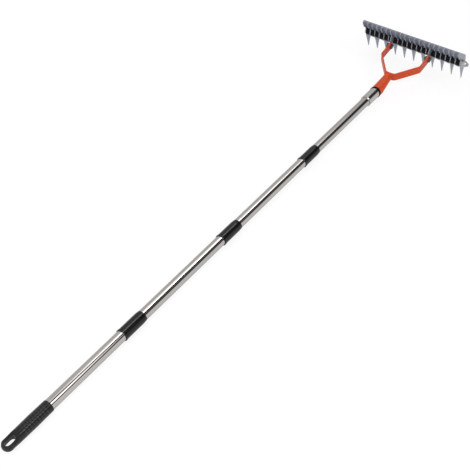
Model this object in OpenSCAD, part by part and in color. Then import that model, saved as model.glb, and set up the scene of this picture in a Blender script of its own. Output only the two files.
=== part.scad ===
// Thatch rake: a grip, a pole of four equal stainless tubes that screw together, a canted yoke
// and a double-sided head of crescent blades strung on one rod.
// The pole frame has y from the butt of the grip to the head, z up and the tines pointing down.
// lie() sets that frame down on the floor, on the belly of the grip and the tine tips.

/* [Pole] */
// Outside diameter of the tubes
tube_d = 25; // [22:0.5:28]
// Wall of the tubes
tube_wall = 0.8; // [0.6:0.1:1.2]
// Distance from one joint of the pole to the next
section_l = 344; // [280:1:420]
// Distance from the butt of the grip to the first joint
first_joint_y = 364; // [300:2:440]
// Diameter of the screwed studs
thread_d = 14; // [12:0.5:15]
// Length of stud inside the insert that it screws into
thread_l = 21; // [16:1:24]
// Length of the plug that holds a stud in its tube
plug_l = 30; // [20:1:45]
// Length of the screwed inserts
insert_l = 26; // [25:1:30]
// Thickness of the seals between the tubes
seal_t = 2; // [1:0.5:4]

/* [Grip] */
// Length of the grip
grip_l = 120; // [110:2:150]
// Wall over the tube at the belly
belly_wall = 1.5; // [1.2:0.1:3]
// Wall over the tube at the rim
rim_wall = 1; // [0.9:0.1:1.4]
// Half the extra width of the round butt over the tube
butt_wall = 0.8; // [0.3:0.1:1.1]
// Distance from the butt to the belly
belly_y = 77.5; // [72:0.5:85]
// Chamfer of the rim
grip_chamfer = 0.6; // [0.2:0.1:0.7]
// Thickness left between the two scoops at the butt
tab_t = 8; // [6:0.5:11]
// Radius of the scoops
scoop_r = 28; // [22:1:34]
// Length of the hang slot
slot_l = 26; // [18:1:28]
// Width of the hang slot
slot_w = 11; // [8:0.5:13]
// Distance from the butt to the middle of the slot
slot_y = 19; // [16:0.5:21]
// Solid end between the slot and the tube
slot_wall = 5; // [3:0.5:8]
// Grooves on each side of the belly
groove_pairs = 4; // [2:1:4]
// Distance between grooves
groove_pitch = 7; // [6:0.5:8]
// Radius of the groove section
groove_r = 1.9; // [1.2:0.1:2.6]
// Depth of a groove at the belly
groove_depth = 0.8; // [0.5:0.1:1]
// Part of the circumference that a groove covers, in degrees
groove_arc = 130; // [90:5:160]

/* [Couplers] */
// Length of a coupler sleeve
coupler_l = 66; // [56:2:90]
// Wall of a coupler sleeve
coupler_wall = 1.25; // [1:0.05:2.5]
// How far the lip round its mouth stands out
coupler_lip = 0.5; // [0.2:0.1:1.2]
// Length of the lip
coupler_lip_l = 4; // [2:0.5:8]
// Chamfer of the lip
coupler_chamfer = 0.5; // [0.2:0.1:0.8]
// Length of the tapered end
coupler_taper_l = 9; // [4:1:15]
// Wall at the end of the taper
coupler_end_wall = 0.5; // [0.3:0.05:0.9]

/* [Collar and ring] */
// Wall of the steel collar on the last tube
collar_wall = 2.4; // [1.5:0.1:3]
// Length of the collar
collar_l = 50; // [35:1:70]
// Radius of the rolled lip at the mouth of the collar
collar_lip_r = 0.9; // [0.5:0.1:1.2]
// Outside diameter of the black ring under the socket
ring_d = 32; // [30:0.5:34]
// Thickness of the ring
ring_t = 6; // [4:0.5:9]

/* [Yoke] */
// Angle of the socket above the line of the pole, in degrees
cant = 13; // [9:0.5:16]
// Angle of the yoke arms above the line of the pole, in degrees
fork_cant = 9.5; // [6:0.5:13]
// Diameter of the socket at its mouth
socket_d = 31; // [30:0.5:34]
// Straight length of the socket before it bends
socket_mouth_l = 14; // [12:1:20]
// How far the socket swells at its bend
socket_swell = 0.3; // [0.2:0.1:0.8]
// Diameter of the socket where it meets the yoke bar
socket_neck_d = 22; // [18:0.5:26]
// Bore of the socket that holds the insert
socket_bore_d = 19.5; // [18:0.5:20.5]
// Distance from the bend of the socket to the middle bar of the yoke
bar_u = 60; // [50:1:70]
// Distance from the bend of the socket by way of the middle bar to the rod
reach = 202; // [190:1:240]
// Distance from the pivot bolts to the rod
pivot_back = 30; // [26:1:40]
// Width of the yoke bar
bar_w = 22; // [18:0.5:26]
// Thickness of the yoke bar
bar_t = 4; // [3:0.5:6]
// Length of the flat middle of the bar
bar_flat = 26; // [20:1:34]
// Distance from the bend of the socket to where the arms turn parallel
arm_bend_u = 122; // [106:1:136]
// Radius of the bends, to the middle of the bar
bar_bend_r = 13; // [8:1:16]

/* [Blades] */
// Number of blades, odd
blade_count = 21; // [13:2:21]
// Distance between blades
blade_pitch = 15; // [13:0.5:18]
// Thickness of a blade
blade_t = 2; // [1.5:0.1:3]
// How far the horn would reach back from the rod if it ran to a point
horn_u = 43.5; // [38:0.5:48]
// How far the horn would reach above the rod if it ran to a point
horn_w = 82.5; // [74:0.5:90]
// Slope of the straight upper edge that runs to the horn, in degrees
top_slope = 46.5; // [42:0.5:52]
// Radius of the round end of the horn
horn_r = 7.5; // [6:0.5:11]
// How far the tine tip stands in front of the rod
tip_u = 10.5; // [6:0.5:14]
// How far the tine tip hangs below the rod
tip_drop = 62.5; // [56:0.5:72]
// Bulge of the outer edge from the line between horn and tip
outer_bulge = 38; // [36:0.5:42]
// Bulge of the inner edge from the same line
inner_bulge = 3; // [1:0.2:4]
// Radius of the hollow behind a tine
tine_hollow_r = 78; // [60:1:100]
// Lean of the hollow, in degrees
tine_hollow_lean = 6; // [0:1:12]
// Width of metal left at the tine tip
tine_tip = 1.2; // [0.6:0.1:2.5]
// Distance from the rod to the straight heel of a blade without a tine
heel = 11; // [9:0.5:14]
// Blades from the middle one to those with a lug for a yoke arm
arm_blade = 4; // [3:1:5]
// Width of the lugs
lug_w = 20; // [16:0.5:24]
// Height above the rod at which the back edge of a lug runs into the blade
lug_rise = 30; // [20:1:38]

/* [Rod and fasteners] */
// Diameter of the head rod
rod_d = 10; // [8:0.5:11]
// Length of bare rod past the nut
rod_end = 5; // [3:0.5:12]
// Diameter of the low head at the other end of the rod
rod_head_d = 18; // [15:0.5:22]
// Height of that head
rod_head_t = 4; // [3:0.5:6]
// Diameter of its flat top
rod_head_top_d = 12; // [8:0.5:14]
// Chamfer of the rod end
rod_chamfer = 1.2; // [0.5:0.1:2]
// Outside diameter of the spacers
spacer_d = 20; // [16:0.5:24]
// Outside diameter of the end washer
washer_d = 21; // [18:0.5:26]
// Thickness of the end washer
washer_t = 2; // [1:0.1:3]
// Size of the end nut across its flats
nut_af = 17; // [15:0.5:19]
// Length of the hexagon of the end nut
nut_l = 8; // [6:0.5:10]
// Length of its round locking collar
nut_collar_l = 5; // [3:0.5:6]
// Diameter of the locking collar at its end
nut_collar_d = 13; // [12.5:0.1:15]
// Diameter of the pivot bolts
pivot_d = 8; // [6:0.5:9]
// Size of a pivot bolt's head and nut across the flats
pivot_af = 13; // [12:0.5:15]
// Height of a pivot bolt's head
pivot_head_t = 5; // [4:0.5:6]
// Length of a pivot nut
pivot_nut_l = 6; // [5:0.5:7]
// Length of bare thread past a pivot nut
pivot_end = 2; // [1:0.5:3]

/* [Fits] */
// Radial gap between a coupler and the tube that slides into it
slip_gap = 0.15; // [0.1:0.05:0.3]
// Radial gap of pieces that are pressed together
press_gap = 0.05; // [0.02:0.01:0.1]
// Radial gap between a stud and its insert
thread_gap = 0.2; // [0.1:0.05:0.4]
// Radial gap between the pivot bolts and the eyes of the yoke
pivot_gap = 0.15; // [0.1:0.05:0.3]

/* [Hidden] */
$fn = 96;
// Segments of the long blade arcs
arc_fn = 720;
// Sides of a nut or bolt head
nut_sides = 6;
// Steps along each bend of the yoke bar
bend_steps = 12;
// How far cuts run past the solid
overrun = 1;
pole_sections = 4;
pole_joints = pole_sections - 1;
tube_bore_d = tube_d - 2 * tube_wall;
grip_d = tube_d + 2 * belly_wall;
grip_rim_d = tube_d + 2 * rim_wall;
grip_butt_d = tube_d + 2 * butt_wall;
collar_d = tube_d + 2 * collar_wall;
thread_bore_d = thread_d + 2 * thread_gap;
tube_start_y = slot_y + slot_l / 2 + slot_wall;

// Joints along the pole: the first three lie inside couplers, the last at the black ring
function joint_y(i) = first_joint_y + (i - 1) * section_l;
function joint_gap(i) = i < pole_sections ? seal_t : ring_t;
function tube_from(i) = i == 1 ? tube_start_y : joint_y(i - 1) + joint_gap(i - 1) / 2;
function tube_to(i) = joint_y(i) - joint_gap(i) / 2;

mouth_y = joint_y(pole_sections) + ring_t / 2;
knee_y = mouth_y + socket_mouth_l;
bar_y = knee_y + bar_u * cos(cant);
bar_z = bar_u * sin(cant);
pivot_u = reach - pivot_back;
rod_y = bar_y + (reach - bar_u) * cos(fork_cant);
rod_z = bar_z + (reach - bar_u) * sin(fork_cant);

// Blades are numbered from the left end, with the middle one on the pole's plane
middle_blade = (blade_count + 1) / 2;
function blade_x(i) = (i - middle_blade) * blade_pitch;
stack_half = (blade_count - 1) / 2 * blade_pitch + blade_t / 2;
spacer_l = blade_pitch - blade_t;
nut_x = stack_half + washer_t;
rod_right = nut_x + nut_l + nut_collar_l + rod_end;
rod_left = stack_half + rod_head_t;
mid_x = (rod_right - rod_left) / 2;

// Both arms lie on the right of their lugs, so the whole bar sits that far off the pole's plane
arm_x = arm_blade * blade_pitch;
arm_shift = (blade_t + bar_t) / 2;
arm_face = arm_shift + bar_t / 2;

// The yoke bar bends from its middle flat to a slanted run and on to the straight arms
slant_x = arm_x - bar_flat / 2;
slant_u = arm_bend_u - bar_u;
turn_out = atan2(slant_u, slant_x);
turn_on = 90 - turn_out;
bend_out = [bar_flat / 2 - bar_bend_r * tan(turn_out / 2), bar_u + bar_bend_r];
bend_on = [arm_x - bar_bend_r, arm_bend_u + bar_bend_r * tan(turn_on / 2)];
function bend_edge(centre, r, from, turn) = [
    for (i = [0:bend_steps])
        let (heading = from + turn * i / bend_steps)
        centre + r * [sin(heading), -cos(heading)]
];
// Right half of one edge of the bar, from the middle flat to the pivot; side is the distance outwards
function bar_edge(side) = concat(
    bend_edge(bend_out, bar_bend_r + side, 0, turn_out),
    bend_edge(bend_on, bar_bend_r + side, turn_out, turn_on),
    [[arm_x + side, pivot_u]]
);
function mirrored(points) = [for (point = points) [-point[0], point[1]]];
function reversed(points) = [for (i = [len(points) - 1:-1:0]) points[i]];

// Both edges of a blade are arcs between the horn and the tine tip
horn = [-horn_u, horn_w];
tip = [tip_u, -tip_drop];
chord = tip - horn;
chord_l = norm(chord);
chord_mid = (horn + tip) / 2;
forward = [-chord[1], chord[0]] / chord_l;
function arc_r(bulge) = (chord_l * chord_l / 4 + bulge * bulge) / (2 * bulge);
function arc_centre(bulge) = chord_mid + forward * (bulge - arc_r(bulge));
outer_c = arc_centre(outer_bulge);
outer_r = arc_r(outer_bulge);
inner_c = arc_centre(inner_bulge);
inner_r = arc_r(inner_bulge);
hollow_centre = tip + [tine_tip, 0] + tine_hollow_r * [cos(tine_hollow_lean), -sin(tine_hollow_lean)];

// The round end of the horn touches the straight upper edge and the inner arc
top_out = [sin(top_slope), cos(top_slope)];
top_up = [-cos(top_slope), sin(top_slope)];
end_foot = (top_out * horn - horn_r) * top_out;
end_off = end_foot - inner_c;
end_ahead = -end_off * top_up;
end_run = end_ahead - sqrt(end_ahead ^ 2 - end_off * end_off + (inner_r + horn_r) ^ 2);
end_c = end_foot + end_run * top_up;
end_cut = [
    end_c,
    end_c + chord_l * top_out,
    end_c + chord_l * (horn - end_c) / norm(horn - end_c),
    end_c - chord_l * (end_c - inner_c) / (inner_r + horn_r)
];

// Where the back edge of a lug runs into the inner arc
rise_u = inner_c[0] + sqrt(inner_r ^ 2 - (lug_rise - inner_c[1]) ^ 2);

// Resting on the floor: the belly of the grip and the tine tips are level
tip_y = rod_y + tip_u * cos(fork_cant) + tip_drop * sin(fork_cant);
tip_z = rod_z + tip_u * sin(fork_cant) - tip_drop * cos(fork_cant);
lie_tilt = -atan((tip_z + grip_d / 2) / (tip_y - belly_y));
lift = grip_d / 2 * cos(lie_tilt) - belly_y * sin(lie_tilt);
head_turn = fork_cant + lie_tilt;
front_y = rod_y * cos(lie_tilt) - rod_z * sin(lie_tilt)
    + outer_c[0] * cos(head_turn) - outer_c[1] * sin(head_turn) + outer_r;
mid_y = front_y / 2;

function two_digits(i) = str(i < 10 ? "0" : "", i);

steel = [0.78, 0.78, 0.78];
black = [0.13, 0.13, 0.14];
orange = [0.82, 0.28, 0.13];
zinc = [0.55, 0.59, 0.65];

module lie() {
    translate([-mid_x, -mid_y, lift]) rotate([lie_tilt, 0, 0]) children();
}

// Stands a solid that is drawn along z at a place on the pole
module on_pole(y) {
    translate([0, y, 0]) rotate([-90, 0, 0]) children();
}

// Yoke frame: x across, y along the arms, counted from the bend of the socket, z square to the arms
module in_yoke() {
    translate([0, bar_y, bar_z]) rotate([fork_cant, 0, 0]) translate([0, -bar_u, 0]) children();
}

// Head frame: the yoke frame moved to the rod
module in_head() {
    in_yoke() translate([0, reach, 0]) children();
}

// Stands a solid that is drawn along z on the rod, from x towards +x
module on_rod(x) {
    in_head() translate([x, 0, 0]) rotate([0, 90, 0]) children();
}

// Stands a solid that is drawn along z on the pivot line of the lug on one side, from x towards +x
module on_pivot(side, x) {
    in_yoke() translate([side * arm_x + x, pivot_u, 0]) rotate([0, 90, 0]) children();
}

module pipe(outer_d, bore_d, l) {
    difference() {
        cylinder(d = outer_d, h = l);
        translate([0, 0, -overrun]) cylinder(d = bore_d, h = l + 2 * overrun);
    }
}

module both_ends() {
    children();
    mirror([1, 0, 0]) children();
}

// Moulded push-on grip with a round butt, a hang slot between two scoops and grooved panels
module grip_body() {
    butt_r = grip_butt_d / 2;
    translate([0, 0, butt_r]) {
        sphere(r = butt_r);
        cylinder(r1 = butt_r, d2 = grip_d, h = belly_y - butt_r);
    }
    translate([0, 0, belly_y])
        cylinder(d1 = grip_d, d2 = grip_rim_d, h = grip_l - grip_chamfer - belly_y);
    translate([0, 0, grip_l - grip_chamfer])
        cylinder(d1 = grip_rim_d, d2 = grip_rim_d - 2 * grip_chamfer, h = grip_chamfer);
}

module grip_groove(y) {
    for (side = [0, 180])
        translate([0, 0, y]) rotate([0, 0, side + 90 - groove_arc / 2])
            rotate_extrude(angle = groove_arc)
                translate([grip_d / 2 + groove_r - groove_depth, 0]) circle(r = groove_r);
}

module hang_slot() {
    end_y = (slot_l - slot_w) / 2;
    for (end = [-end_y, end_y])
        translate([0, slot_y + end, -grip_d]) cylinder(d = slot_w, h = 2 * grip_d);
    translate([-slot_w / 2, slot_y - end_y, -grip_d]) cube([slot_w, 2 * end_y, 2 * grip_d]);
}

module grip() {
    color(black) difference() {
        on_pole(0) grip_body();
        on_pole(tube_start_y) cylinder(d = tube_d + 2 * press_gap, h = grip_l);
        for (side = [0, 1])
            mirror([0, 0, side])
                translate([-grip_d, slot_y, tab_t / 2 + scoop_r])
                    rotate([0, 90, 0]) cylinder(r = scoop_r, h = 2 * grip_d);
        hang_slot();
        for (i = [1:groove_pairs], way = [-1, 1])
            on_pole(0) grip_groove(belly_y + way * (i - 1 / 2) * groove_pitch);
    }
}

module tube(i) {
    color(steel) on_pole(tube_from(i)) pipe(tube_d, tube_bore_d, tube_to(i) - tube_from(i));
}

// Sleeve fixed on the upper tube, with a lipped mouth that the lower tube screws up into
module coupler(i) {
    bore_r = tube_d / 2 + slip_gap;
    sleeve_r = bore_r + coupler_wall;
    lip_r = sleeve_r + coupler_lip;
    color(black) on_pole(joint_y(i) - coupler_l / 2) rotate_extrude()
        polygon([
            [bore_r, 0],
            [lip_r - coupler_chamfer, 0],
            [lip_r, coupler_chamfer],
            [lip_r, coupler_lip_l],
            [sleeve_r, coupler_lip_l + coupler_chamfer],
            [sleeve_r, coupler_l - coupler_taper_l],
            [bore_r + coupler_end_wall, coupler_l],
            [bore_r, coupler_l]
        ]);
}

// Stud with a plug in the end of its tube; it screws into the insert of the next piece
module stud(i) {
    color(black) union() {
        on_pole(tube_to(i) - plug_l) cylinder(d = tube_bore_d - 2 * press_gap, h = plug_l);
        on_pole(tube_to(i)) cylinder(d = thread_d, h = joint_gap(i) + thread_l);
    }
}

module insert(i) {
    seat_d = i < pole_sections ? tube_bore_d : socket_bore_d;
    color(black) on_pole(joint_y(i) + joint_gap(i) / 2)
        pipe(seat_d - 2 * press_gap, thread_bore_d, insert_l);
}

module seal(i) {
    color(black) on_pole(tube_to(i)) pipe(tube_d, thread_bore_d, seal_t);
}

// Steel ferrule crimped on the last tube, with a rolled lip at its mouth
module collar() {
    from_y = tube_to(pole_sections) - collar_l;
    lip_centre_r = (tube_d + collar_d) / 4 + press_gap / 2;
    color(steel) difference() {
        union() {
            on_pole(from_y + collar_lip_r)
                cylinder(d = collar_d, h = collar_l - collar_lip_r);
            on_pole(from_y + collar_lip_r) rotate_extrude()
                translate([collar_d / 2 - collar_lip_r / 2, 0]) circle(r = collar_lip_r);
            on_pole(from_y) cylinder(r = lip_centre_r, h = collar_l);
        }
        on_pole(from_y - overrun) cylinder(d = tube_d + 2 * press_gap, h = collar_l + 2 * overrun);
    }
}

module neck_ring() {
    color(black) on_pole(tube_to(pole_sections)) pipe(ring_d, thread_bore_d, ring_t);
}

// Pressed steel socket: a straight mouth on the pole's line, a bend and a cone up to the yoke bar
module socket() {
    color(orange) difference() {
        union() {
            on_pole(mouth_y) cylinder(d = socket_d, h = socket_mouth_l);
            translate([0, knee_y, 0]) rotate([cant, 0, 0]) {
                sphere(d = socket_d + 2 * socket_swell);
                rotate([-90, 0, 0]) cylinder(d1 = socket_d, d2 = socket_neck_d, h = bar_u);
            }
        }
        in_yoke() translate([-socket_d, bar_u - bar_t / 2, -socket_d])
            cube([2 * socket_d, socket_d, 2 * socket_d]);
        on_pole(mouth_y - socket_d) cylinder(d = 2 * socket_d, h = socket_d);
        on_pole(mouth_y - overrun) cylinder(d = socket_bore_d, h = overrun + insert_l);
    }
}

// One flat bar bent into a fork, with an eye at each end for a pivot bolt
module yoke() {
    eye_cut_l = bar_t + 2 * overrun;
    color(orange) difference() {
        in_yoke() translate([arm_shift, 0, 0]) {
            translate([0, 0, -bar_w / 2]) linear_extrude(bar_w) polygon(concat(
                bar_edge(bar_t / 2),
                reversed(bar_edge(-bar_t / 2)),
                mirrored(bar_edge(-bar_t / 2)),
                reversed(mirrored(bar_edge(bar_t / 2)))
            ));
            both_ends() translate([arm_x - bar_t / 2, pivot_u, 0])
                rotate([0, 90, 0]) cylinder(d = bar_w, h = bar_t);
        }
        for (side = [-1, 1])
            on_pivot(side, arm_shift - eye_cut_l / 2)
                cylinder(d = pivot_d + 2 * pivot_gap, h = eye_cut_l);
    }
}

// Long bolt with a low head on the left and the nut on the right
module head_rod() {
    shank_to = rod_right - rod_chamfer;
    color(zinc) union() {
        on_rod(-stack_half) cylinder(d = rod_d, h = stack_half + shank_to);
        on_rod(shank_to) cylinder(d1 = rod_d, d2 = rod_d - 2 * rod_chamfer, h = rod_chamfer);
        on_rod(-rod_left) cylinder(d1 = rod_head_top_d, d2 = rod_head_d, h = rod_head_t);
    }
}

// Crescent between two arcs with a straight upper edge and a round horn; a tined blade is hollowed in
// front of its tine, a plain one cut to a heel
module crescent(tined) {
    difference() {
        translate(outer_c) circle(r = outer_r, $fn = arc_fn);
        translate(inner_c) circle(r = inner_r, $fn = arc_fn);
        translate(horn) rotate(180 - top_slope) translate([-2 * chord_l, -chord_l])
            square([3 * chord_l, chord_l]);
        polygon(end_cut);
        if (tined)
            translate(hollow_centre) circle(r = tine_hollow_r, $fn = arc_fn);
        else
            rotate(-45) translate([-chord_l, -heel - chord_l]) square([2 * chord_l, chord_l]);
    }
    intersection() {
        translate(end_c) circle(r = horn_r);
        polygon(end_cut);
    }
}

// Lug that reaches back from the rod to a pivot bolt
module lug() {
    translate([-pivot_back, 0]) circle(d = lug_w);
    polygon([
        [-pivot_back, -lug_w / 2],
        [0, -lug_w / 2],
        [0, lug_rise],
        [rise_u + overrun, lug_rise],
        [-pivot_back, lug_w / 2]
    ]);
}

// Every second blade has a tine, counted from both ends; two of them have a lug
module blade(i) {
    lugged = abs(i - middle_blade) == arm_blade;
    color(zinc) in_head() translate([blade_x(i) - blade_t / 2, 0, 0])
        rotate([90, 0, 90]) linear_extrude(blade_t) difference() {
            union() {
                crescent(i % 2 == 1);
                if (lugged) lug();
            }
            circle(d = rod_d + 2 * press_gap);
            if (lugged) translate([-pivot_back, 0]) circle(d = pivot_d + 2 * press_gap);
        }
}

module spacers() {
    for (i = [1:blade_count - 1])
        color(black) on_rod(blade_x(i) + blade_t / 2)
            pipe(spacer_d, rod_d + 2 * press_gap, spacer_l);
}

module end_washer() {
    color(steel) on_rod(stack_half) pipe(washer_d, rod_d + 2 * press_gap, washer_t);
}

module hexagon(af, l) {
    cylinder(d = af / cos(180 / nut_sides), h = l, $fn = nut_sides);
}

// Hexagon lock nut with a domed collar
module end_nut() {
    color(steel) on_rod(nut_x) difference() {
        union() {
            hexagon(nut_af, nut_l);
            translate([0, 0, nut_l]) cylinder(d1 = nut_af, d2 = nut_collar_d, h = nut_collar_l);
        }
        translate([0, 0, -overrun])
            cylinder(d = rod_d + 2 * press_gap, h = nut_l + nut_collar_l + 2 * overrun);
    }
}

// The arms turn on these bolts: heads on the right of the arms, nuts on the left of the lugs
module pivot_bolts() {
    from_x = -blade_t / 2 - pivot_nut_l - pivot_end;
    color(black) for (side = [-1, 1]) {
        on_pivot(side, from_x) cylinder(d = pivot_d, h = arm_face - from_x);
        on_pivot(side, arm_face) hexagon(pivot_af, pivot_head_t);
    }
}

module pivot_nuts() {
    color(black) for (side = [-1, 1])
        on_pivot(side, -blade_t / 2 - pivot_nut_l) difference() {
            hexagon(pivot_af, pivot_nut_l);
            translate([0, 0, -overrun])
                cylinder(d = pivot_d + 2 * press_gap, h = pivot_nut_l + 2 * overrun);
        }
}

lie() grip();
for (i = [1:pole_sections]) {
    lie() tube(i);
    lie() stud(i);
    lie() insert(i);
}
for (i = [1:pole_joints]) {
    lie() coupler(i);
    lie() seal(i);
}
lie() collar();
lie() neck_ring();
lie() socket();
lie() yoke();
lie() head_rod();
for (i = [1:blade_count])
    lie() blade(i);
lie() spacers();
lie() end_washer();
lie() end_nut();
lie() pivot_bolts();
lie() pivot_nuts();
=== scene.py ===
import math
import bpy
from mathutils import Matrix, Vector


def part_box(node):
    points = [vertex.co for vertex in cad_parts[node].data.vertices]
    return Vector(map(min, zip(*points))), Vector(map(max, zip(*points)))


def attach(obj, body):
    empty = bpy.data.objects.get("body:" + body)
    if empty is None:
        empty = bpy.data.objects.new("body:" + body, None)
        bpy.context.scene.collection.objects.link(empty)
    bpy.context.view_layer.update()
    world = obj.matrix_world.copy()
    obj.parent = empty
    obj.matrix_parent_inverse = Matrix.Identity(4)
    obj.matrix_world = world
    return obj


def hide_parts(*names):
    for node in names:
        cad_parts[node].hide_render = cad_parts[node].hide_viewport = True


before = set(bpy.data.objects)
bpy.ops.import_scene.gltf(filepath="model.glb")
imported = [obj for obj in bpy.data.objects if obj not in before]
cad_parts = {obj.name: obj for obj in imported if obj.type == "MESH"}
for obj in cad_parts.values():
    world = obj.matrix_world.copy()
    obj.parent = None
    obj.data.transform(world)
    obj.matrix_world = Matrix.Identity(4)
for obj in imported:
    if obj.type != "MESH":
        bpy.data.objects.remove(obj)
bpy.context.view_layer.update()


# Photo stage: a white floor that runs out to a white surround, under a long overhead
# light bank. The room beside the bank is dark, which is what polished steel shows as
# its dark stripe; the photograph's camera looks down along the pole from the grip end.
scene = bpy.context.scene
scene.view_settings.view_transform = "Standard"
bpy.ops.object.select_all(action="DESELECT")

camera_data = bpy.data.cameras.new("photo_camera")
camera_data.sensor_width = 36.0
camera_data.lens = 68.05
camera = bpy.data.objects.new("photo_camera", camera_data)
camera.location = (0.8609, -1.3174, 1.4147)
camera.rotation_euler = (math.radians(46.603), math.radians(-0.192), math.radians(35.444))
scene.collection.objects.link(camera)
scene.camera = camera

room = bpy.data.worlds.new("photo_room")
scene.world = room
room.use_nodes = True
nodes, links = room.node_tree.nodes, room.node_tree.links
nodes.clear()
sky_dir = nodes.new("ShaderNodeTexCoord")
sky_xyz = nodes.new("ShaderNodeSeparateXYZ")
links.new(sky_dir.outputs["Generated"], sky_xyz.inputs[0])
# Angle round the pole's line, from the right-hand horizon up and over to the left
sweep = nodes.new("ShaderNodeMath")
sweep.operation = "ARCTAN2"
links.new(sky_xyz.outputs["Z"], sweep.inputs[0])
links.new(sky_xyz.outputs["X"], sweep.inputs[1])
sweep_turns = nodes.new("ShaderNodeMapRange")
sweep_turns.inputs["From Min"].default_value = 0.0
sweep_turns.inputs["From Max"].default_value = math.pi
links.new(sweep.outputs[0], sweep_turns.inputs["Value"])
room_tint = (1.0, 0.985, 0.97)


def surround(stops):
    """One ring of the room round the pole's line: (share of the sweep, light level) stops."""
    ring = nodes.new("ShaderNodeValToRGB")
    for place, _ in stops[1:-1]:
        ring.color_ramp.elements.new(place)
    for element, (place, level) in zip(ring.color_ramp.elements, stops):
        element.position = place
        element.color = [level * part for part in room_tint] + [1.0]
    links.new(sweep_turns.outputs["Result"], ring.inputs[0])
    return ring.outputs["Color"]


def fade(first, second, start, end):
    """Goes from one ring to the next along the room."""
    along_room = nodes.new("ShaderNodeMapRange")
    along_room.inputs["From Min"].default_value = start
    along_room.inputs["From Max"].default_value = end
    links.new(sky_xyz.outputs["Y"], along_room.inputs["Value"])
    both = nodes.new("ShaderNodeMix")
    both.data_type = "RGBA"
    links.new(along_room.outputs["Result"], both.inputs["Factor"])
    links.new(first, both.inputs["A"])
    links.new(second, both.inputs["B"])
    return both.outputs["Result"]


# By the grip the room is bright but for two thin gaps, in the middle it has one wide dark side
# with a dim wall in it, and by the head the light bank has ended.
grip_ring = surround([(0.0, 0.95), (0.105, 0.95), (0.12, 0.01), (0.222, 0.01), (0.24, 2.7), (0.34, 2.7),
                      (0.358, 0.02), (0.455, 0.02), (0.472, 1.0), (0.60, 1.0), (0.62, 0.40), (0.66, 0.40),
                      (0.69, 0.68), (1.0, 0.66)])
pole_ring = surround([(0.0, 0.80), (0.11, 0.80), (0.135, 0.03), (0.225, 0.03), (0.25, 0.12), (0.34, 0.12),
                      (0.37, 0.03), (0.460, 0.03), (0.475, 9.0), (0.495, 9.0), (0.515, 1.5), (0.62, 1.5),
                      (0.70, 0.66), (1.0, 0.66)])
head_ring = surround([(0.0, 0.66), (0.11, 0.66), (0.155, 0.04), (0.40, 0.03), (0.50, 0.30), (0.60, 0.66),
                      (1.0, 0.60)])
room_level = fade(fade(grip_ring, pole_ring, 0.35, 0.455), head_ring, 0.56, 0.74)
room_light = nodes.new("ShaderNodeBackground")
links.new(room_level, room_light.inputs["Color"])
white_light = nodes.new("ShaderNodeBackground")
white_light.inputs["Color"].default_value = (1.0, 1.0, 1.0, 1.0)
ray = nodes.new("ShaderNodeLightPath")
sky_mix = nodes.new("ShaderNodeMixShader")
links.new(ray.outputs["Is Camera Ray"], sky_mix.inputs["Fac"])
links.new(room_light.outputs[0], sky_mix.inputs[1])
links.new(white_light.outputs[0], sky_mix.inputs[2])
sky_out = nodes.new("ShaderNodeOutputWorld")
links.new(sky_mix.outputs[0], sky_out.inputs["Surface"])

# The floor is matt for the light that falls on it. The camera and polished metal see it glow
# white for the most part, and the shadow in the rest.
bpy.ops.mesh.primitive_plane_add(size=30.0, location=(0.0, 0.0, -0.0005))
floor = bpy.context.object
floor.name = "floor"
floor_white = bpy.data.materials.new("floor_white")
floor_white.use_nodes = True
nodes, links = floor_white.node_tree.nodes, floor_white.node_tree.links
nodes.clear()
floor_matt = nodes.new("ShaderNodeBsdfDiffuse")
floor_matt.inputs["Color"].default_value = (0.9, 0.9, 0.9, 1.0)
floor_glow = nodes.new("ShaderNodeEmission")
ray = nodes.new("ShaderNodeLightPath")
glow = nodes.new("ShaderNodeMapRange")
glow.inputs["To Min"].default_value = 0.80
glow.inputs["To Max"].default_value = 1.05
links.new(ray.outputs["Is Camera Ray"], glow.inputs["Value"])
links.new(glow.outputs["Result"], floor_glow.inputs["Strength"])
seen = nodes.new("ShaderNodeMath")
seen.operation = "MAXIMUM"
links.new(ray.outputs["Is Camera Ray"], seen.inputs[0])
links.new(ray.outputs["Is Glossy Ray"], seen.inputs[1])
glow_share = nodes.new("ShaderNodeMath")
glow_share.operation = "MULTIPLY"
glow_share.inputs[1].default_value = 0.8
links.new(seen.outputs[0], glow_share.inputs[0])
floor_mix = nodes.new("ShaderNodeMixShader")
links.new(glow_share.outputs[0], floor_mix.inputs["Fac"])
links.new(floor_matt.outputs[0], floor_mix.inputs[1])
links.new(floor_glow.outputs[0], floor_mix.inputs[2])
floor_out = nodes.new("ShaderNodeOutputMaterial")
links.new(floor_mix.outputs[0], floor_out.inputs["Surface"])
floor.data.materials.append(floor_white)

key_data = bpy.data.lights.new("key_lamp", "AREA")
key_data.size = 1.6
key_data.energy = 24.0
key = bpy.data.objects.new("key_lamp", key_data)
key.location = (0.55, -2.0, 2.2)
key.rotation_euler = Vector((-0.55, 2.3, -2.2)).to_track_quat("-Z", "Y").to_euler()
scene.collection.objects.link(key)


# Grip: one hollow moulding in matt black plastic, pushed over the end of the first tube.
# The mould was spark-eroded, so the skin has a fine even grain.
def new_group(name, ins, outs):
    """A shader node group with plain number and colour sockets, and its Object coordinates."""
    group = bpy.data.node_groups.new(name, "ShaderNodeTree")
    kinds = {"c": "NodeSocketColor", "f": "NodeSocketFloat"}
    for title, kind, value in ins:
        socket = group.interface.new_socket(name=title, in_out="INPUT", socket_type=kinds[kind])
        socket.default_value = value
    for title, kind in outs:
        group.interface.new_socket(name=title, in_out="OUTPUT", socket_type=kinds[kind])
    inlet = group.nodes.new("NodeGroupInput")
    outlet = group.nodes.new("NodeGroupOutput")
    coords = group.nodes.new("ShaderNodeTexCoord").outputs["Object"]
    return group, inlet.outputs, outlet.inputs, coords


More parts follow.
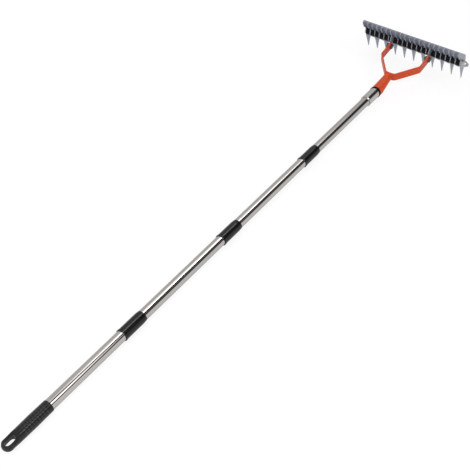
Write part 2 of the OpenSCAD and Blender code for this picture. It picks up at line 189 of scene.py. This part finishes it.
def maths(tree, operation, a, b=0.0):
    """One Math node on two sockets or numbers."""
    node = tree.nodes.new("ShaderNodeMath")
    node.operation = operation
    for socket, value in zip(node.inputs, (a, b)):
        if isinstance(value, float):
            socket.default_value = value
        else:
            tree.links.new(value, socket)
    return node.outputs[0]


def noise(tree, vector, scale, detail):
    """One Noise texture; its scale is a number or a socket."""
    node = tree.nodes.new("ShaderNodeTexNoise")
    node.inputs["Detail"].default_value = detail
    tree.links.new(vector, node.inputs["Vector"])
    if isinstance(scale, float):
        node.inputs["Scale"].default_value = scale
    else:
        tree.links.new(scale, node.inputs["Scale"])
    return node.outputs["Fac"]


def tinted(tree, ins, outs, pattern, lift=None):
    """Swings a group's colour with a pattern, as far as its Variation says."""
    swing = maths(tree, "MULTIPLY", maths(tree, "SUBTRACT", pattern, 0.5), ins["Variation"])
    gain = maths(tree, "ADD", swing, 1.0)
    if lift is not None:
        gain = maths(tree, "ADD", gain, lift)
    tint = tree.nodes.new("ShaderNodeVectorMath")
    tint.operation = "SCALE"
    tree.links.new(ins["Colour"], tint.inputs[0])
    tree.links.new(gain, tint.inputs["Scale"])
    tree.links.new(tint.outputs["Vector"], outs["Colour"])


def finish(name, group, values, bump, depth, gloss):
    """A new material: a group placed with its own values, and the shader's own sockets for its gloss."""
    mat = bpy.data.materials.new(name)
    mat.use_nodes = True
    tree = mat.node_tree
    shader = tree.nodes["Principled BSDF"]
    effect = tree.nodes.new("ShaderNodeGroup")
    effect.name = group.name
    effect.node_tree = group
    for title, value in values.items():
        effect.inputs[title].default_value = value
    tree.links.new(effect.outputs["Colour"], shader.inputs["Base Color"])
    tree.links.new(effect.outputs["Roughness"], shader.inputs["Roughness"])
    relief = tree.nodes.new("ShaderNodeBump")
    relief.inputs["Strength"].default_value = bump
    relief.inputs["Distance"].default_value = depth
    tree.links.new(effect.outputs["Height"], relief.inputs["Height"])
    tree.links.new(relief.outputs["Normal"], shader.inputs["Normal"])
    for title, value in gloss.items():
        shader.inputs[title].default_value = value
    return mat


def put_on(mat, *names):
    """Puts a finish on CAD nodes."""
    for name in names:
        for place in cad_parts[name].material_slots:
            place.material = mat


# Moulded grain: a fine even spark-eroded texture, with faint flow clouds in the colour
moulded, ins, outs, coords = new_group(
    "moulded_grain",
    [("Colour", "c", (0.02, 0.02, 0.02, 1.0)), ("Variation", "f", 0.25), ("Grain", "f", 1400.0),
     ("Roughness", "f", 0.5)],
    [("Colour", "c"), ("Roughness", "f"), ("Height", "f")])
grain = noise(moulded, coords, ins["Grain"], 2.0)
clouds = noise(moulded, coords, 35.0, 3.0)
tinted(moulded, ins, outs, clouds)
rough = maths(moulded, "MULTIPLY", maths(moulded, "SUBTRACT", grain, 0.5), 0.3)
moulded.links.new(maths(moulded, "ADD", rough, ins["Roughness"]), outs["Roughness"])
moulded.links.new(grain, outs["Height"])

grip_black = finish("grip_black", moulded,
                    {"Colour": (0.007, 0.007, 0.0075, 1.0), "Grain": 1500.0, "Roughness": 0.2},
                    bump=0.06, depth=0.0003, gloss={"Specular IOR Level": 0.4})
# The crests of the ribs are painted paler than the grooves between them, a painted highlight, and given a
# smoother gloss
ribbed, ins, outs, coords = new_group(
    "ribs_with_painted_highlight",
    [("Colour", "c", (0.01, 0.01, 0.01, 1.0)), ("Roughness", "f", 0.3), ("Middle", "f", -0.7422),
     ("Pitch", "f", 0.007), ("Reach", "f", 0.0315), ("Crest_highlight", "c", (0.02, 0.02, 0.021, 1.0))],
    [("Colour", "c"), ("Roughness", "f")])
grip_xyz = ribbed.nodes.new("ShaderNodeSeparateXYZ")
ribbed.links.new(coords, grip_xyz.inputs[0])
run = maths(ribbed, "SUBTRACT", grip_xyz.outputs["Y"], ins["Middle"])
turns = maths(ribbed, "DIVIDE", run, ins["Pitch"])
wave = maths(ribbed, "COSINE", maths(ribbed, "MULTIPLY", turns, 2.0 * math.pi))
crest = maths(ribbed, "MAXIMUM", maths(ribbed, "MULTIPLY", wave, 1.4), 0.0)
panel = maths(ribbed, "LESS_THAN", maths(ribbed, "ABSOLUTE", run), ins["Reach"])
crest = maths(ribbed, "MINIMUM", maths(ribbed, "MULTIPLY", crest, panel), 1.0)
# Painted highlight: the rib crests are mixed towards a paler colour
crest_highlight = ribbed.nodes.new("ShaderNodeMix")
crest_highlight.data_type = "RGBA"
ribbed.links.new(crest, crest_highlight.inputs["Factor"])
ribbed.links.new(ins["Colour"], crest_highlight.inputs["A"])
ribbed.links.new(ins["Crest_highlight"], crest_highlight.inputs["B"])
ribbed.links.new(crest_highlight.outputs["Result"], outs["Colour"])
polish = maths(ribbed, "MULTIPLY", crest, 0.05)
ribbed.links.new(maths(ribbed, "SUBTRACT", ins["Roughness"], polish), outs["Roughness"])

grip_tree = grip_black.node_tree
skin, shader = grip_tree.nodes["moulded_grain"], grip_tree.nodes["Principled BSDF"]
ribs = grip_tree.nodes.new("ShaderNodeGroup")
ribs.node_tree = ribbed
for title, socket in (("Colour", "Base Color"), ("Roughness", "Roughness")):
    grip_tree.links.new(skin.outputs[title], ribs.inputs[title])
    grip_tree.links.new(ribs.outputs[title], shader.inputs[socket])
put_on(grip_black, "grip")


def only(piece):
    """Selects one object alone and makes it the active one."""
    bpy.ops.object.select_all(action="DESELECT")
    piece.select_set(True)
    bpy.context.view_layer.objects.active = piece


def set_down(piece, place, turn=(0.0, 0.0, 0.0)):
    """Turns and moves a piece that was made at the origin, and puts its place in its mesh."""
    only(piece)
    piece.rotation_euler = turn
    piece.location = place
    bpy.ops.object.transform_apply(location=True, rotation=True, scale=True)


def finish_piece(piece, mat, body, slot_name, *nodes_replaced):
    """Shades a piece, puts its finish on, and hangs it on its body in place of its CAD nodes."""
    only(piece)
    bpy.ops.object.shade_smooth_by_angle(angle=math.radians(32.0))
    piece.data.materials.clear()
    piece.data.materials.append(mat)
    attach(piece, body)
    if nodes_replaced:
        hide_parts(*nodes_replaced)


def turned(name, steps, sides=48):
    """A piece turned round the X axis: steps are (x, radius) from one end face to the other."""
    bpy.ops.object.select_all(action="DESELECT")
    bpy.ops.mesh.primitive_circle_add(vertices=sides, radius=steps[0][1], fill_type="NGON",
                                      rotation=(0.0, math.pi / 2, 0.0))
    piece = bpy.context.object
    piece.name = name
    piece.location.x = steps[0][0]
    bpy.ops.object.transform_apply(location=True, rotation=True, scale=True)
    bpy.ops.object.mode_set(mode="EDIT")
    bpy.ops.mesh.select_all(action="SELECT")
    for (x0, r0), (x1, r1) in zip(steps, steps[1:]):
        bpy.ops.mesh.extrude_region_move(TRANSFORM_OT_translate={"value": (x1 - x0, 0.0, 0.0)})
        bpy.ops.transform.resize(value=(1.0, r1 / r0, r1 / r0), center_override=(x1, 0.0, 0.0))
    bpy.ops.mesh.select_all(action="SELECT")
    bpy.ops.mesh.normals_make_consistent(inside=False)
    bpy.ops.object.mode_set(mode="OBJECT")
    return piece


def cut(piece, tool, operation):
    """Cuts a piece with another one, which is then thrown away."""
    only(piece)
    knife = piece.modifiers.new("cut", "BOOLEAN")
    knife.operation = operation
    knife.solver = "EXACT"
    knife.object = tool
    bpy.ops.object.modifier_apply(modifier="cut")
    bpy.data.objects.remove(tool, do_unlink=True)


# The end wall of the bore, moulded in one with the grip: it follows the two scoops beside the
# hang slot, so that no steel shows there.
pole_tilt = math.radians(0.331)
pole_turn = (0.0, -pole_tilt, math.pi / 2)
pole_way = Vector((0.0, math.cos(pole_tilt), math.sin(pole_tilt)))
pole_up = Vector((0.0, -math.sin(pole_tilt), math.cos(pole_tilt)))
tube_r = 0.0125
wall_t = 0.003
scoop_r, scoop_half_w = 0.028, 0.02
scoop_back, scoop_off = 0.018, 0.032
tube_low, tube_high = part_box("tube_1")
bore_end = Vector(((tube_low[0] + tube_high[0]) / 2, tube_low[1] + tube_r * math.sin(pole_tilt),
                   tube_low[2] + tube_r * math.cos(pole_tilt)))
bore_wall = turned("grip_bore_wall", [(0.0, tube_r), (wall_t, tube_r)], sides=96)
set_down(bore_wall, bore_end, pole_turn)
for side in (-1.0, 1.0):
    scoop = turned("scoop", [(-scoop_half_w, scoop_r), (scoop_half_w, scoop_r)], sides=160)
    set_down(scoop, bore_end - scoop_back * pole_way + side * scoop_off * pole_up)
    cut(bore_wall, scoop, "DIFFERENCE")
finish_piece(bore_wall, grip_black, "section_1", "grip_black")


# Pole tubes: four drawn and polished stainless tubes of one length. Polishing along the
# tube leaves hairlines that only show in the gloss.
drawn, ins, outs, coords = new_group(
    "drawn_lines",
    [("Colour", "c", (0.56, 0.55, 0.54, 1.0)), ("Variation", "f", 0.12), ("Roughness", "f", 0.12)],
    [("Colour", "c"), ("Roughness", "f"), ("Height", "f")])
along = drawn.nodes.new("ShaderNodeMapping")
along.inputs["Scale"].default_value = (900.0, 6.0, 900.0)
drawn.links.new(coords, along.inputs["Vector"])
hairs = noise(drawn, along.outputs["Vector"], 1.0, 3.0)
haze = noise(drawn, coords, 22.0, 2.0)
tinted(drawn, ins, outs, hairs)
smear = maths(drawn, "ADD", maths(drawn, "MULTIPLY", haze, 0.02), maths(drawn, "MULTIPLY", hairs, 0.02))
drawn.links.new(maths(drawn, "ADD", smear, ins["Roughness"]), outs["Roughness"])
drawn.links.new(hairs, outs["Height"])

steel_gloss = {"Metallic": 1.0, "Specular Tint": (0.72, 0.70, 0.68, 1.0)}
stainless = finish("stainless", drawn, {"Colour": (0.57, 0.555, 0.54, 1.0), "Roughness": 0.015},
                   bump=0.04, depth=0.0001, gloss=steel_gloss)
put_on(stainless, "tube_2", "tube_3", "tube_4")
merge_gap = 0.00001


def copy_of(node, name, flat=0.0):
    """A new piece with a CAD node's mesh, its loose triangles merged, and made one where they lie flat."""
    piece = bpy.data.objects.new(name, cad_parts[node].data.copy())
    scene.collection.objects.link(piece)
    only(piece)
    bpy.ops.object.mode_set(mode="EDIT")
    bpy.ops.mesh.select_all(action="SELECT")
    bpy.ops.mesh.remove_doubles(threshold=merge_gap)
    if flat:
        bpy.ops.mesh.dissolve_limited(angle_limit=flat)
    bpy.ops.object.mode_set(mode="OBJECT")
    return piece


# The first tube starts behind the end wall of the grip
first_tube = copy_of("tube_1", "first_tube")
offcut_r, offcut_over = 0.02, 0.002
offcut = turned("offcut", [(-offcut_over, offcut_r), (wall_t, offcut_r)])
set_down(offcut, bore_end, pole_turn)
cut(first_tube, offcut, "DIFFERENCE")
finish_piece(first_tube, stainless, "section_1", "stainless", "tube_1")


# Couplers: turned-looking black plastic sleeves, glued over the end of the upper tube.
# The lower tube slides into the lipped mouth and screws home inside.
coupler_black = finish("coupler_black", moulded,
                       {"Colour": (0.006, 0.006, 0.0065, 1.0), "Grain": 1900.0, "Roughness": 0.1},
                       bump=0.04, depth=0.0002, gloss={"Specular IOR Level": 0.35})
put_on(coupler_black, "coupler_1", "coupler_2", "coupler_3")


# Screwed joints inside the pole: nylon plugs with a coarse moulded thread and nylon inserts,
# pressed into the tube ends, and a rubber seal between the tubes. They show only when a joint
# is unscrewed.
def pick_edges(piece, test):
    """Goes into edit mode with those edges selected whose two ends pass a test of their place."""
    only(piece)
    bpy.ops.object.mode_set(mode="EDIT")
    bpy.ops.mesh.select_all(action="DESELECT")
    bpy.ops.mesh.select_mode(type="EDGE")
    bpy.ops.object.mode_set(mode="OBJECT")
    for edge in piece.data.edges:
        edge.select = all(test(piece.data.vertices[end].co) for end in edge.vertices)
    bpy.ops.object.mode_set(mode="EDIT")


def threaded(name, radius, pitch, length, chamfer):
    """A threaded bar along X from the origin; its far end is chamfered."""
    bpy.ops.object.select_all(action="DESELECT")
    bpy.ops.mesh.primitive_circle_add(vertices=4, radius=radius)
    bar = bpy.context.object
    bar.name = name
    root = radius - 0.6 * pitch
    outline = [(-pitch, root), (-0.58 * pitch, radius), (-0.42 * pitch, radius), (0.0, root)]
    for corner, (x, r) in zip(bar.data.vertices, outline):
        corner.co = (x, r, 0.0)
    pick_edges(bar, lambda end: abs(end.y - root) < merge_gap)
    bpy.ops.mesh.delete(type="EDGE")
    bpy.ops.object.mode_set(mode="OBJECT")
    helix = bar.modifiers.new("helix", "SCREW")
    helix.axis = "X"
    helix.screw_offset = pitch
    helix.iterations = int(length / pitch) + 3
    helix.steps = 36
    helix.render_steps = 36
    helix.use_merge_vertices = True
    helix.merge_threshold = merge_gap
    only(bar)
    bpy.ops.object.modifier_apply(modifier="helix")
    bpy.ops.object.mode_set(mode="EDIT")
    bpy.ops.mesh.select_all(action="SELECT")
    bpy.ops.mesh.remove_doubles(threshold=merge_gap)
    for end, waste in ((0.0, "clear_inner"), (length, "clear_outer")):
        bpy.ops.mesh.select_all(action="SELECT")
        bpy.ops.mesh.bisect(plane_co=(end, 0.0, 0.0), plane_no=(1.0, 0.0, 0.0), use_fill=True,
                            **{waste: True})
    bpy.ops.mesh.select_all(action="SELECT")
    bpy.ops.mesh.normals_make_consistent(inside=False)
    bpy.ops.object.mode_set(mode="OBJECT")
    clear_r = radius * 1.2
    cone = turned(name + "_cone", [(-0.002, clear_r), (length - chamfer * 1.6, clear_r),
                                   (length + 0.001, root - 0.001)])
    cut(bar, cone, "INTERSECT")
    return bar


def joined(name, *parts):
    """Several parts made one piece."""
    bpy.ops.object.select_all(action="DESELECT")
    for part in parts:
        part.select_set(True)
    bpy.context.view_layer.objects.active = parts[0]
    bpy.ops.object.join()
    parts[0].name = name
    return parts[0]


def copied(pattern, name):
    """A copy of a pattern, with its own mesh."""
    only(pattern)
    bpy.ops.object.duplicate()
    piece = bpy.context.object
    piece.name = name
    return piece


nylon_black = finish("nylon_black", moulded,
                     {"Colour": (0.025, 0.025, 0.026, 1.0), "Grain": 1100.0, "Roughness": 0.4},
                     bump=0.2, depth=0.0002, gloss={})
put_on(nylon_black, *["insert_%d" % i for i in range(1, 5)])
stud_thread = threaded("stud_thread", radius=0.0070, pitch=0.0025, length=0.0215, chamfer=0.001)
plug_r = 0.0116
plug_ease = 0.0006
shoulder = 0.001
thread_run = 0.0220
plug_lap = 0.0002
for i in range(1, 5):
    low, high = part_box("stud_%d" % i)
    stud_l = (high[1] - low[1]) / math.cos(pole_tilt)
    plug_l = stud_l - thread_run + plug_lap
    plug = turned("stud_%d_plug" % i, [(0.0, plug_r - plug_ease), (plug_ease, plug_r),
                                       (plug_l - shoulder, plug_r), (plug_l, plug_r - shoulder)])
    thread = copied(stud_thread, "stud_%d_thread" % i)
    set_down(thread, (stud_l - thread_run, 0.0, 0.0))
    stud = joined("screw_stud_%d" % i, plug, thread)
    set_down(stud, ((low[0] + high[0]) / 2, low[1] + plug_r * math.sin(pole_tilt),
                    low[2] + plug_r * math.cos(pole_tilt)), pole_turn)
    finish_piece(stud, nylon_black, "section_%d" % i, "nylon_black", "stud_%d" % i)
bpy.data.objects.remove(stud_thread, do_unlink=True)
seal_rubber = finish("seal_rubber", moulded,
                     {"Colour": (0.002, 0.002, 0.002, 1.0), "Grain": 700.0, "Roughness": 0.6},
                     bump=0.3, depth=0.0003, gloss={"Specular IOR Level": 0.1})
put_on(seal_rubber, "seal_1", "seal_2", "seal_3")


# Collar and ring: a stainless ferrule with a rolled lip, crimped on the last tube and left with
# a satin finish, and the black rubber ring that the socket is screwed up against.
stainless_satin = finish("stainless_satin", drawn, {"Colour": (0.62, 0.61, 0.60, 1.0), "Roughness": 0.13},
                         bump=0.06, depth=0.0001, gloss=steel_gloss)
put_on(stainless_satin, "collar")
put_on(seal_rubber, "neck_ring")


# Socket and yoke: a pressed steel socket welded to one flat bar that is bent into a fork,
# both powder coated orange after welding.
coated, ins, outs, coords = new_group(
    "powder_coat",
    [("Colour", "c", (0.6, 0.08, 0.02, 1.0)), ("Variation", "f", 0.18), ("Roughness", "f", 0.3)],
    [("Colour", "c"), ("Roughness", "f"), ("Height", "f")])
peel = noise(coated, coords, 420.0, 1.0)
film = noise(coated, coords, 28.0, 3.0)
tinted(coated, ins, outs, film)
rough = maths(coated, "MULTIPLY", film, 0.12)
coated.links.new(maths(coated, "ADD", rough, ins["Roughness"]), outs["Roughness"])
coated.links.new(peel, outs["Height"])

orange_paint = finish("orange_paint", coated, {"Colour": (0.60, 0.068, 0.016, 1.0), "Roughness": 0.3},
                      bump=0.15, depth=0.0004, gloss={"Specular IOR Level": 0.22})
put_on(orange_paint, "socket", "yoke")
# The weld round the end of the socket, rippled by hand
socket_low, socket_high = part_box("socket")
socket_cant = math.radians(9.831)
weld_in, weld_drop = 0.00193, 0.01083
bpy.ops.object.select_all(action="DESELECT")
bpy.ops.mesh.primitive_torus_add(major_radius=0.0112, minor_radius=0.0014, major_segments=120,
                                 minor_segments=12)
weld = bpy.context.object
weld.name = "socket_weld"
ripple = bpy.data.textures.new("weld_ripple", "CLOUDS")
ripple.noise_scale = 0.0022
ripples = weld.modifiers.new("ripples", "DISPLACE")
ripples.texture = ripple
ripples.texture_coords = "LOCAL"
ripples.strength = 0.0009
bpy.ops.object.modifier_apply(modifier="ripples")
set_down(weld, ((socket_low[0] + socket_high[0]) / 2, socket_high[1] - weld_in, socket_high[2] - weld_drop),
         (socket_cant - math.pi / 2, 0.0, 0.0))
finish_piece(weld, orange_paint, "yoke", "orange_paint")


# Head rod: one long zinc plated bolt with a low riveted-looking head at the left and a rolled
# thread at the right. It carries all the blades and spacers.
plated, ins, outs, coords = new_group(
    "zinc_plate",
    [("Colour", "c", (0.3, 0.34, 0.4, 1.0)), ("Variation", "f", 0.3), ("Roughness", "f", 0.35)],
    [("Colour", "c"), ("Roughness", "f"), ("Height", "f")])
bloom = noise(plated, coords, 55.0, 4.0)
flecks = plated.nodes.new("ShaderNodeTexVoronoi")
flecks.inputs["Scale"].default_value = 420.0
plated.links.new(coords, flecks.inputs["Vector"])
fleck = flecks.outputs["Distance"]
tinted(plated, ins, outs, bloom, lift=maths(plated, "MULTIPLY", fleck, 0.12))
rough = maths(plated, "MULTIPLY", bloom, 0.2)
plated.links.new(maths(plated, "ADD", rough, ins["Roughness"]), outs["Roughness"])
plated.links.new(fleck, outs["Height"])

zinc_rod = finish("zinc_rod", plated, {"Colour": (0.50, 0.51, 0.53, 1.0), "Roughness": 0.22},
                  bump=0.05, depth=0.0003, gloss={"Metallic": 1.0})
rod_low, rod_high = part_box("head_rod")
rod_r = 0.005
rod_y = (rod_low[1] + rod_high[1]) / 2
rod_z = (rod_low[2] + rod_high[2]) / 2
rod_l = rod_high[0] - rod_low[0]
thread_l = 0.024
low_head = [(0.0, 0.0050), (0.0004, 0.0060), (0.0016, 0.0076), (0.0028, 0.0086), (0.0036, 0.0090),
            (0.0040, 0.0090)]
shank = turned("rod_shank", low_head + [(0.00401, rod_r), (rod_l - thread_l, rod_r)])
rod_end = threaded("rod_end", radius=rod_r, pitch=0.0015, length=thread_l - 0.0001, chamfer=0.001)
set_down(rod_end, (rod_l - thread_l, 0.0, 0.0))
rod = joined("threaded_rod", shank, rod_end)
set_down(rod, (rod_low[0], rod_y, rod_z))
finish_piece(rod, zinc_rod, "head", "zinc_rod", "head_rod")


# Blades: plates blanked from 2 mm sheet steel, tumbled to ease the rims, then zinc plated.
# Every second one has a tine, and two have a lug that reaches back to a pivot bolt.
zinc_blade = finish("zinc_blade", plated, {"Colour": (0.36, 0.385, 0.455, 1.0), "Roughness": 0.36},
                    bump=0.06, depth=0.0003, gloss={"Metallic": 0.7})
die_w, die_l, die_h = 0.4, 0.2, 0.15
die_corner = (0.0, rod_y - 0.0310, rod_z + 0.0495)
die_slope = math.radians(-32.06)
horn_r = 0.0065
throat_r, throat_stretch = 0.012, 1.42
throat_place = (0.0, rod_y - 0.0261, rod_z + 0.0108)
throat_slope = math.radians(-32.7)
rim_ease = 0.0003


def shear_die(name):
    """The block whose top shears the upper edges of the blades in one line; its back corner is round."""
    bpy.ops.object.select_all(action="DESELECT")
    bpy.ops.mesh.primitive_cube_add(size=1.0, location=(0.0, die_l / 2, -die_h / 2))
    die = bpy.context.object
    die.name = name
    die.scale = (die_w, die_l, die_h)
    bpy.ops.object.transform_apply(location=True, rotation=True, scale=True)
    pick_edges(die, lambda end: abs(end.y) + abs(end.z) < merge_gap)
    bpy.ops.mesh.bevel(offset=horn_r, segments=12, affect="EDGES")
    bpy.ops.object.mode_set(mode="OBJECT")
    set_down(die, die_corner, (die_slope, 0.0, 0.0))
    return die


def blank(name, node, throat=True):
    """One blade from its own solid: a clean sheet, sheared and eased, with a throat behind the rod."""
    piece = copy_of(node, name, flat=math.radians(0.1))
    cut(piece, shear_die(name + "_die"), "INTERSECT")
    if throat:
        punch = turned(name + "_punch", [(-die_w / 2, throat_r), (die_w / 2, throat_r)], sides=128)
        bpy.ops.transform.resize(value=(1.0, throat_stretch, 1.0))
        set_down(punch, throat_place, (throat_slope, 0.0, 0.0))
        cut(piece, punch, "DIFFERENCE")
    only(piece)
    ease = piece.modifiers.new("ease", "BEVEL")
    ease.width = rim_ease
    ease.segments = 2
    ease.limit_method = "ANGLE"
    ease.angle_limit = math.radians(45.0)
    bpy.ops.object.modifier_apply(modifier="ease")
    return piece


blanks = {"tined": ("blade_01", blank("tined_blank", "blade_01")),
          "plain": ("blade_02", blank("plain_blank", "blade_02")),
          "lugged": ("blade_07", blank("lugged_blank", "blade_07", throat=False))}
for i in range(1, 22):
    node = "blade_%02d" % i
    kind = "lugged" if i in (7, 15) else "tined" if i % 2 else "plain"
    first, pattern = blanks[kind]
    plate = copied(pattern, "plate_%02d" % i)
    set_down(plate, (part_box(node)[0][0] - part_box(first)[0][0], 0.0, 0.0))
    finish_piece(plate, zinc_blade, "head", "zinc_blade", node)
for first, pattern in blanks.values():
    bpy.data.objects.remove(pattern, do_unlink=True)


# Spacers: lengths of black plastic tube, strung on the rod between the blades. They keep the
# blades apart and are clamped with them.
spacer_black = finish("spacer_black", moulded,
                      {"Colour": (0.005, 0.005, 0.006, 1.0), "Grain": 1200.0, "Roughness": 0.5},
                      bump=0.2, depth=0.0003, gloss={"Specular IOR Level": 0.1})
put_on(spacer_black, "spacers")


# End nut: a zinc plated steel lock nut with a domed collar, screwed up against a plain washer.
# It clamps the whole stack on the rod from the right.
zinc_fastener = finish("zinc_fastener", plated, {"Colour": (0.47, 0.475, 0.48, 1.0), "Roughness": 0.2},
                       bump=0.05, depth=0.0003, gloss={"Metallic": 1.0})
put_on(zinc_fastener, "end_washer")


def hexagon(name, across, x0, x1, chamfer_low, chamfer_high, hole):
    """A hexagon along X with chamfered corners at the ends asked for, bored if a hole is given."""
    corner = across / 2 / math.cos(math.pi / 6)
    land = across / 2 * 0.97
    fall = (corner - land) * math.tan(math.radians(30.0))
    over = 0.001
    bpy.ops.object.select_all(action="DESELECT")
    bpy.ops.mesh.primitive_cylinder_add(vertices=6, radius=corner, depth=x1 - x0,
                                        location=((x0 + x1) / 2, 0.0, 0.0),
                                        rotation=(0.0, math.pi / 2, 0.0))
    piece = bpy.context.object
    piece.name = name
    bpy.ops.object.transform_apply(location=True, rotation=True, scale=True)
    low_end = [(x0, land), (x0 + fall, corner)] if chamfer_low else [(x0 - over, corner * 1.01)]
    high_end = [(x1 - fall, corner * 1.001), (x1, land)] if chamfer_high else [(x1 + over, corner * 1.01)]
    cut(piece, turned(name + "_cone", low_end + high_end, sides=96), "INTERSECT")
    if hole:
        cut(piece, turned(name + "_hole", [(x0 - 2 * over, hole), (x1 + 2 * over, hole)]), "DIFFERENCE")
    return piece


nut_low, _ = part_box("end_nut")
nut_l = 0.008
nut_bore = rod_r + 0.00005
nut = hexagon("lock_nut_hexagon", 0.017, 0.0, nut_l, True, False, nut_bore)
dome = turned("lock_nut_dome", [(nut_l, 0.0085), (nut_l + 0.0012, 0.0082), (nut_l + 0.0030, 0.0074),
                                (nut_l + 0.0043, 0.0067), (nut_l + 0.0050, 0.0060)])
dome_hole = turned("lock_nut_dome_hole", [(nut_l - 0.002, nut_bore), (nut_l + 0.007, nut_bore)])
cut(dome, dome_hole, "DIFFERENCE")
lock_nut = joined("lock_nut", nut, dome)
set_down(lock_nut, (nut_low[0], rod_y, rod_z))
finish_piece(lock_nut, zinc_fastener, "head", "zinc_fastener", "end_nut")


# Pivot bolts: blackened hexagon bolts and nuts that hold the arms of the fork to the lugs of two
# blades. The head tilts on them, so each bolt head clears its arm by a hair.
black_fastener = finish("black_fastener", plated, {"Colour": (0.11, 0.11, 0.115, 1.0), "Roughness": 0.22},
                        bump=0.06, depth=0.0003, gloss={"Metallic": 0.9})
bolt_low, bolt_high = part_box("pivot_bolts")
pivot_y = (bolt_low[1] + bolt_high[1]) / 2
pivot_z = (bolt_low[2] + bolt_high[2]) / 2
lug_gap = 0.120
bolt_l = bolt_high[0] - bolt_low[0] - lug_gap
bolt_across = 0.013
bolt_thread_r, bolt_thread_l = 0.0040, 0.010
shank_r = 0.0039
seat = bolt_l - 0.005
seat_r, seat_t = 0.0062, 0.0004
hair = 0.00005
bolt_shank = turned("bolt_shank", [(bolt_thread_l, shank_r), (seat + seat_t, shank_r)])
bolt_end = threaded("bolt_end", radius=bolt_thread_r, pitch=0.00125, length=bolt_thread_l, chamfer=0.0008)
set_down(bolt_end, (bolt_thread_l, 0.0, 0.0), (0.0, 0.0, math.pi))
bolt_head = hexagon("bolt_head", bolt_across, seat + seat_t, bolt_l, False, True, 0.0)
washer_face = turned("bolt_washer_face", [(seat + hair, seat_r), (seat + seat_t, seat_r)])
bolt = joined("bolt", bolt_shank, bolt_end, bolt_head, washer_face)
pivot_nut = hexagon("pivot_nut", bolt_across, 0.002, 0.008, True, True, bolt_thread_r + hair)
for pattern, name, node in ((bolt, "hex_bolts", "pivot_bolts"), (pivot_nut, "hex_nuts", "pivot_nuts")):
    other = copied(pattern, name + "_other")
    set_down(pattern, (bolt_low[0], pivot_y, pivot_z))
    set_down(other, (bolt_low[0] + lug_gap, pivot_y, pivot_z))
    finish_piece(joined(name, pattern, other), black_fastener, "head", "black_fastener", node)
